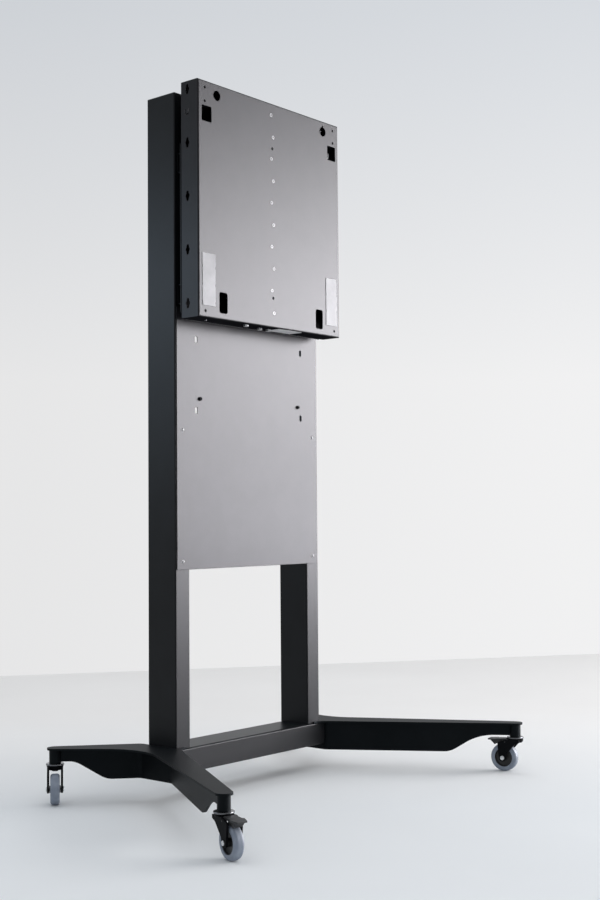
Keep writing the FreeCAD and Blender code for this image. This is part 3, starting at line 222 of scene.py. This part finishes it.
def bright_metal(name, dark, light, rough, stretch=(1, 1, 1), grain=300):
    """Plated or milled metal with a fine grain and a few darker patches."""
    s = Finish(name)
    fine = s.noise(grain, 4.0, 0.65, stretch)
    color = s.blend(s.spread(s.noise(45, 4.0), 0.0, 1.0, 0.35, 0.65), dark, light)
    roughness = s.spread(fine, rough - 0.08, rough + 0.1)
    return s.done(s.principled(color, roughness, s.bump(fine, 0.12, 0.0001, 0.0005), Metallic=1.0))


# Looks by name: the colours that the mottling runs between, the roughness and what else a look needs.
COATS = {
    "frame_paint": dict(dark=(0.0025, 0.0032, 0.0042), light=(0.0042, 0.0050, 0.0064), rough=0.36,
                        specular=0.19),
    "panel_paint": dict(dark=(0.008, 0.008, 0.0095), light=(0.011, 0.011, 0.013), rough=0.35,
                        specular=0.20, under=0.0),
    # This near-black matt coat is painted shade behind the housing's windows.
    "inner_coat": dict(dark=(0.003, 0.003, 0.0035), light=(0.005, 0.005, 0.006), rough=0.85,
                       specular=0.12),
    # The coated screws' rim colour is a painted highlight round their heads.
    "coated_screw": dict(dark=(0.018, 0.018, 0.020), light=(0.026, 0.026, 0.028), rough=0.3,
                         specular=0.3, highlight_rim=(0.95, 0.95, 0.97)),
    "foot_paint": dict(dark=(0.0022, 0.0027, 0.0035), light=(0.0038, 0.0045, 0.0055), rough=0.45,
                       specular=0.09, tint=(0.80, 0.94, 1.0)),
    "black_steel": dict(dark=(0.004, 0.004, 0.0045), light=(0.006, 0.006, 0.007), rough=0.34,
                        specular=0.03, tint=(0.85, 0.95, 1.0)),
}
MOULDINGS = {
    "black_plastic": dict(dark=(0.008, 0.008, 0.009), light=(0.013, 0.013, 0.014), rough=0.45),
    "tyre_rubber": dict(dark=(0.190, 0.222, 0.28), light=(0.235, 0.270, 0.33), rough=0.50,
                        grain=700, relief=0.3),
    "black_rubber": dict(dark=(0.015, 0.015, 0.015), light=(0.024, 0.024, 0.024), rough=0.7,
                         grain=900, relief=0.4),
    "liner_plastic": dict(dark=(0.68, 0.67, 0.62), light=(0.76, 0.75, 0.70), rough=0.4),
    "pad_film": dict(dark=(0.210, 0.210, 0.218), light=(0.228, 0.228, 0.236), rough=0.40,
                     grain=500, relief=0.3, specular=0.20),
    "label_film": dict(dark=(0.60, 0.60, 0.61), light=(0.68, 0.68, 0.69), rough=0.4,
                       grain=600, relief=0.1),
}
METALS = {
    "zinc": dict(dark=(0.52, 0.53, 0.54), light=(0.66, 0.67, 0.68), rough=0.28),
    "extrusion": dict(dark=(0.50, 0.51, 0.52), light=(0.60, 0.61, 0.62), rough=0.38,
                      stretch=(1, 1, 0.03), grain=900),
    "dark_zinc": dict(dark=(0.10, 0.103, 0.11), light=(0.17, 0.173, 0.18), rough=0.20),
    "spring_steel": dict(dark=(0.16, 0.17, 0.20), light=(0.24, 0.25, 0.28), rough=0.32),
}
finishes = {}
for build, group in ((powder_coat, COATS), (moulded, MOULDINGS), (bright_metal, METALS)):
    for name, look in group.items():
        finishes[name] = build(name, **look)

# Each CAD piece has the finish that its slot names; a few small parts have one of their own.
for part in frame["record"]["subparts"]:
    mesh = nodes[part["node"]].data
    mesh.materials.clear()
    mesh.materials.append(finishes[part["material_slot"]])
# These screws' finish paints a highlight on their rims.
for screws in ("guide_rail_screws", "cover_screws"):
    nodes[screws].data.materials[0] = finishes["coated_screw"]
for corner in ("front_left", "front_right", "rear_left", "rear_right"):
    nodes[corner + "_swivel_bearing"].data.materials[0] = finishes["dark_zinc"]


def rounded(across, along, radius, steps=5):
    """Outline of a rectangle with round corners, from its spans."""
    points = []
    corners = ((across[1], along[1]), (across[0], along[1]), (across[0], along[0]), (across[1], along[0]))
    for quarter, (u, v) in enumerate(corners):
        centre_u = u + radius * (-1 if quarter in (0, 3) else 1)
        centre_v = v + radius * (-1 if quarter in (0, 1) else 1)
        for step in range(steps + 1):
            angle = math.radians(90) * (quarter + step / steps)
            points.append((centre_u + radius * math.cos(angle), centre_v + radius * math.sin(angle)))
    return points


def disc(u, v, radius, steps=20):
    """Outline of a round hole."""
    angles = [2 * math.pi * i / steps for i in range(steps)]
    return [(u + radius * math.cos(a), v + radius * math.sin(a)) for a in angles]


def span(middle, size):
    return (middle - size / 2, middle + size / 2)


def keep_piece(name, mesh, body, finish):
    """Put a finished mesh in the scene on its body."""
    piece = bpy.data.objects.new(name, mesh)
    mesh.materials.clear()
    mesh.materials.append(finishes[finish])
    bpy.context.scene.collection.objects.link(piece)
    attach(piece, body)
    return piece


def sheet_mesh(loops, low, high, edge, plane):
    """Flat sheet with holes and rounded edges: loops in a plane, from low to high across it."""
    curve = bpy.data.curves.new("outline", "CURVE")
    curve.dimensions = "2D"
    curve.fill_mode = "BOTH"
    curve.extrude = (high - low) / 2 - edge
    curve.bevel_depth = edge
    curve.bevel_resolution = 1
    curve.offset = -edge
    for loop in loops:
        spline = curve.splines.new("POLY")
        spline.points.add(len(loop) - 1)
        spline.use_cyclic_u = True
        for point, (u, v) in zip(spline.points, loop):
            point.co = (u, v, 0, 1)
    holder = bpy.data.objects.new("outline", curve)
    mesh = bpy.data.meshes.new_from_object(holder)
    bpy.data.objects.remove(holder)
    bpy.data.curves.remove(curve)
    middle = (low + high) / 2
    for vertex in mesh.vertices:
        u, v, w = vertex.co
        vertex.co = (u, middle - w, v) if plane == "XZ" else (u, v, middle + w)
    return mesh


def turned_mesh(rings, centre, axis, steps=24):
    """Turned head with a hexagonal socket; rings hold distance along the axis, radius and if six-sided."""
    axis = Vector(axis)
    first = axis.orthogonal().normalized()
    second = axis.cross(first)
    shape = bmesh.new()
    layers = []
    for height, radius, six in rings:
        layer = []
        for step in range(steps):
            angle = 2 * math.pi * step / steps
            turn = math.radians((math.degrees(angle) % 60) - 30)
            reach = radius / math.cos(turn) if six else radius
            outward = first * math.cos(angle) + second * math.sin(angle)
            layer.append(shape.verts.new(Vector(centre) + axis * height + outward * reach))
        layers.append(layer)
    for inner, outer in zip(layers, layers[1:]):
        for step in range(steps):
            following = (step + 1) % steps
            shape.faces.new((inner[step], inner[following], outer[following], outer[step]))
    shape.faces.new(list(reversed(layers[0])))
    shape.faces.new(layers[-1])
    bmesh.ops.recalc_face_normals(shape, faces=shape.faces)
    mesh = bpy.data.meshes.new("turned")
    shape.to_mesh(mesh)
    shape.free()
    return mesh


def joined(meshes):
    """One mesh from several."""
    shape = bmesh.new()
    for mesh in meshes:
        shape.from_mesh(mesh)
    whole = bpy.data.meshes.new("joined")
    shape.to_mesh(whole)
    shape.free()
    return whole


# Cover plate with rolled edges: on each side two short slots, two screw holes and the hook screw's hole.
SLOT_X, SLOT_WIDTH, SLOT_HEIGHT, SLOT_CORNER, SLOT_ROWS = 0.206, 0.0085, 0.017, 0.0042, (0.979, 1.161)
SCREW_X, SCREW_HOLE, SCREW_ROWS = 0.2547, 0.0028, (0.595, 0.927)
HOOK_X, HOOK_Z, HOOK_HOLE = 0.193, 1.009, 0.0034
COVER_CORNER, COVER_EDGE = 0.003, 0.0004
cover_low, cover_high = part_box("cover_plate")
loops = [rounded((cover_low.x, cover_high.x), (cover_low.z, cover_high.z), COVER_CORNER)]
for sign in (-1, 1):
    across = span(sign * SLOT_X, SLOT_WIDTH)
    loops += [rounded(across, span(z, SLOT_HEIGHT), SLOT_CORNER) for z in SLOT_ROWS]
    loops += [disc(sign * SCREW_X, z, SCREW_HOLE) for z in SCREW_ROWS]
    loops.append(disc(sign * HOOK_X, HOOK_Z, HOOK_HOLE))
cover_mesh = sheet_mesh(loops, cover_low.y, cover_high.y, COVER_EDGE, "XZ")
cover_piece = keep_piece("cover_plate_sheet", cover_mesh, "stand_frame", "panel_paint")
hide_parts("cover_plate")

# Hook screws: black socket heads that stand a little proud of the cover plate.
HOOK_RINGS = (
    (0.0025, 0.0016, True), (0.0052, 0.0017, True), (0.0055, 0.0021, False), (0.0055, 0.0036, False),
    (0.0050, 0.0042, False), (0.0012, 0.0042, False), (0.0012, 0.0052, False), (0.0, 0.0052, False),
    (-0.012, 0.0030, False),
)
hook_places = [(sign * HOOK_X, cover_low.y, HOOK_Z) for sign in (-1, 1)]
hook_mesh = joined([turned_mesh(HOOK_RINGS, place, (0, -1, 0)) for place in hook_places])
hook_piece = keep_piece("hook_screw_heads", hook_mesh, "stand_frame", "black_steel")
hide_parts("hook_screws")

# Contact pads: thin film strips with a few nicks along their sides.
PAD_X, PAD_HALF_WIDTH, PAD_ROWS, PAD_EDGE = 0.244, 0.0235, 44, 0.0002
NICK_DEPTH, NICK_PERIOD, NICK_ROWS = 0.0012, 15, (3, 4)
pad_low, pad_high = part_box("contact_pads")


def pad_outline(x, phase):
    """Strip whose long sides wander a little and step in at a few places."""
    sides = []
    for sign in (1, -1):
        points = []
        for row in range(PAD_ROWS + 1):
            share = row / PAD_ROWS
            wander = 0.0002 * math.sin(9 * share + phase)
            wander += 0.00015 * math.sin(31 * share + 2 * phase * sign)
            nick = NICK_DEPTH if (row + int(3 * phase)) % NICK_PERIOD in NICK_ROWS else 0.0
            reach = PAD_HALF_WIDTH + wander - nick
            points.append((x + sign * reach, pad_low.z + (pad_high.z - pad_low.z) * share))
        sides.append(points)
    return sides[0] + sides[1][::-1]


pad_meshes = []
for sign, phase in ((-1, 0.4), (1, 1.7)):
    pad_meshes.append(sheet_mesh([pad_outline(sign * PAD_X, phase)], pad_low.y, pad_high.y, PAD_EDGE, "XZ"))
pad_piece = keep_piece("contact_pad_films", joined(pad_meshes), "lift_carriage", "pad_film")
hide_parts("contact_pads")

# Rear sheets on the housing's back, which close it behind its windows beside the lift's path; their
# near-black matt coat is painted shade for the inside of the housing.
REAR_MARGIN, REAR_NEAR, REAR_FAR, REAR_CORNER, REAR_EDGE = 0.0015, 0.0005, 0.0011, 0.004, 0.0001
house_low, house_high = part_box("lift_housing")
for name, across in (("left_rear_sheet", (-0.2785, -0.1275)), ("right_rear_sheet", (0.0400, 0.2785))):
    outline = rounded(across, (house_low.z + REAR_MARGIN, house_high.z - REAR_MARGIN), REAR_CORNER)
    mesh = sheet_mesh([outline], house_high.y + REAR_NEAR, house_high.y + REAR_FAR, REAR_EDGE, "XZ")
    keep_piece(name, mesh, "lift_carriage", "inner_coat")

# Underside: a bare plate and the end of one more screw.
UNDER_ACROSS, UNDER_ALONG, UNDER_CORNER = (0.029, 0.124), (0.022, 0.066), 0.003
UNDER_THICKNESS, UNDER_EDGE = 0.0009, 0.0002
UNDER_SCREW = (-0.216, 0.056)
UNDER_RINGS = (
    (0.0010, 0.0016, True), (0.0021, 0.0017, True), (0.0022, 0.0021, False), (0.0016, 0.0036, False),
    (0, 0.0040, False),
)
base = house_low.z
plate_outline = rounded(UNDER_ACROSS, UNDER_ALONG, UNDER_CORNER)
plate_mesh = sheet_mesh([plate_outline], base - UNDER_THICKNESS, base, UNDER_EDGE, "XY")
keep_piece("underside_plate", plate_mesh, "lift_carriage", "label_film")
screw_mesh = turned_mesh(UNDER_RINGS, (*UNDER_SCREW, base), (0, 0, -1))
keep_piece("underside_screw", screw_mesh, "lift_carriage", "dark_zinc")


def pale_backdrop(s, kind, direction):
    """Light node of one kind that shows the studio's far side in one direction from the stand."""
    height = s.measure("DOT_PRODUCT", direction, UP)
    ahead = s.measure("DOT_PRODUCT", direction, FORWARD)
    color = s.blend(s.spread(height, 0.0, 1.0, 0.10, 0.36), (0.82, 0.82, 0.825), (0.64, 0.665, 0.70))
    color = s.blend(s.spread(ahead, 0.0, 1.0, 0.2, 0.75), (0.50, 0.505, 0.51), color)
    strength = s.spread(s.measure("DOT_PRODUCT", direction, SIDE), 0.97, 1.07, -0.2, 0.2)
    light = s.add(kind)
    s.link(color, light.inputs["Color"])
    s.link(strength, light.inputs["Strength"])
    return light


def seen_directly(s):
    """1 for what the camera, a reflection or glass sees, and 0 for the light that falls on things."""
    path = s.add("ShaderNodeLightPath")
    seen = path.outputs["Is Camera Ray"]
    for kind in ("Is Glossy Ray", "Is Transmission Ray"):
        seen = s.number("MAXIMUM", seen, path.outputs[kind])
    return seen


# Floor: a line behind the stand and a soft round edge, past which it takes the backdrop's tone.
FLOOR_REACH = 14
LINE_LEFT = CAMERA_PLACE + FORWARD * 5.25 - SIDE * 4
LINE_RIGHT = CAMERA_PLACE + FORWARD * 7.60 + SIDE * 5
EDGE_START, EDGE_END = 4.4, 6.4
# Painted shade and light on the floor: darker, bluer tones at the stand and lighter, warmer ones further
# back.
SHADED_NEAR_TONES = ((0.805, 0.825, 0.835), (0.835, 0.855, 0.865))
LIT_FAR_TONES = ((0.860, 0.843, 0.820), (0.890, 0.873, 0.850))


def floor_surface():
    """Pale matt floor that turns into the backdrop's tone behind the stand, with painted shade and light:
    darker and bluer at and in front of the stand, lighter and warmer further back.
    """
    s = Finish("studio_floor")
    where = s.add("ShaderNodeTexCoord").outputs["Object"]
    along = (LINE_RIGHT - LINE_LEFT).normalized()
    across = Vector((-along.y, along.x, 0))
    beyond = s.number("GREATER_THAN", s.measure("DOT_PRODUCT", where, across), LINE_LEFT.dot(across))
    outside = s.spread(s.measure("LENGTH", where), 0.0, 1.0, EDGE_START, EDGE_END)
    turned = s.number("MULTIPLY", s.number("MAXIMUM", beyond, outside), seen_directly(s))
    heading = s.vector("NORMALIZE", s.vector("SUBTRACT", where, CAMERA_PLACE))
    mottling = s.spread(s.noise(1.2, 3.0), 0.0, 1.0)
    # Painted light and shade: the floor's tone runs from the near tones to the far ones along the view.
    distance = s.spread(s.measure("DOT_PRODUCT", where, FORWARD), 0.0, 1.0, -0.2, 1.3)
    tone = s.blend(distance, s.blend(mottling, *SHADED_NEAR_TONES), s.blend(mottling, *LIT_FAR_TONES))
    matt = s.add("ShaderNodeBsdfPrincipled", Roughness=0.75)
    s.link(tone, matt.inputs["Base Color"])
    s.link(s.bump(s.noise(40, 4.0), 0.05, 0.001), matt.inputs["Normal"])
    return s.done(s.choose(turned, matt, pale_backdrop(s, "ShaderNodeEmission", heading)))


floor_mesh = bpy.data.meshes.new("floor")
floor_corners = [(u * FLOOR_REACH, v * FLOOR_REACH, 0) for u, v in ((-1, -1), (1, -1), (1, 1), (-1, 1))]
floor_mesh.from_pydata(floor_corners, [], [(0, 1, 2, 3)])
floor_mesh.materials.append(floor_surface())
floor = bpy.data.objects.new("floor", floor_mesh)
bpy.context.scene.collection.objects.link(floor)


def area_light(name, place, target, size, radiance, color, hidden):
    """Soft rectangular lamp aimed at a point; hidden names the kinds of ray that don't meet it."""
    lamp = bpy.data.lights.new(name, "AREA")
    lamp.shape = "RECTANGLE"
    lamp.size, lamp.size_y = size
    lamp.energy = radiance * math.pi * size[0] * size[1]
    lamp.color = color
    thing = bpy.data.objects.new(name, lamp)
    thing.location = place
    thing.rotation_euler = (Vector(target) - Vector(place)).to_track_quat("-Z", "Y").to_euler()
    for kind in hidden:
        setattr(thing, "visible_" + kind, False)
    bpy.context.scene.collection.objects.link(thing)


# Lamps: they light everything and don't show in the gloss.
LIT_SIDE = Vector((0.76, -0.65, 0))
WINDOW_TONE = (1.03, 1.0, 0.975)
STAND_MIDDLE = (0, 0, 1.2)
card_place = LIT_SIDE * 4.2
window_place = (*(card_place * 1.9).xy, 2.53)
area_light("ceiling", (0.3, 0.3, 4.2), (0.3, 0.3, 0), (5, 5), 0.9, (0.97, 1.0, 1.05), ("glossy",))
area_light("window", window_place, STAND_MIDDLE, (6.1, 3.4), 5.4, WINDOW_TONE, ("glossy",))

# Reflecting cards: they show in the gloss of the paint and add no light to anything else.
CARD_ONLY = ("diffuse", "shadow")
FRONT_CARDS = ((0.5, 35), (1.0, 14), (1.4, 19), (1.8, 24.5), (2.2, 17), (2.7, 11), (3.3, 6.5))
SIDE_CARDS = ((1.2, 1.0), (1.8, 3.3))
area_light("window_card", (*card_place.xy, 1.9), STAND_MIDDLE, (3.2, 1.8), 5.5, WINDOW_TONE, CARD_ONLY)
for name, place, size, color, cards in (
        ("front_card", card_place, (3.2, 0.4), (1.0, 0.985, 1.05), FRONT_CARDS),
        ("side_card", LIT_SIDE * -3.0, (2.4, 0.5), (0.80, 1.0, 1.22), SIDE_CARDS)):
    for height, radiance in cards:
        area_light(name, (*place.xy, height), (0, 0, height), size, radiance, color, CARD_ONLY)

# World: the backdrop where it is seen, and an even light elsewhere.
world = bpy.data.worlds.new("studio")
bpy.context.scene.world = world
sky = Shader(world)
even = sky.add("ShaderNodeBackground", Color=(0.955, 0.99, 1.035, 1), Strength=0.5)
far_side = pale_backdrop(sky, "ShaderNodeBackground", sky.add("ShaderNodeTexCoord").outputs["Generated"])
sky.show("ShaderNodeOutputWorld", sky.choose(seen_directly(sky), even, far_side))

lens = bpy.data.cameras.new("camera")
lens.sensor_fit = "VERTICAL"
lens.sensor_height = SENSOR_HEIGHT
lens.lens = FOCAL_LENGTH * SENSOR_HEIGHT / IMAGE_HEIGHT
camera = bpy.data.objects.new("camera", lens)
turn = Matrix.Rotation(YAW, 3, "Z") @ Matrix.Rotation(PITCH, 3, "X") @ Matrix.Rotation(ROLL, 3, "Y")
right, ahead, up = turn.col[0], turn.col[1], turn.col[2]
pose = Matrix((right, up, -ahead)).transposed().to_4x4()
pose.translation = CAMERA_PLACE
camera.matrix_world = pose
bpy.context.scene.collection.objects.link(camera)
bpy.context.scene.camera = camera
bpy.context.scene.view_settings.view_transform = "Standard"
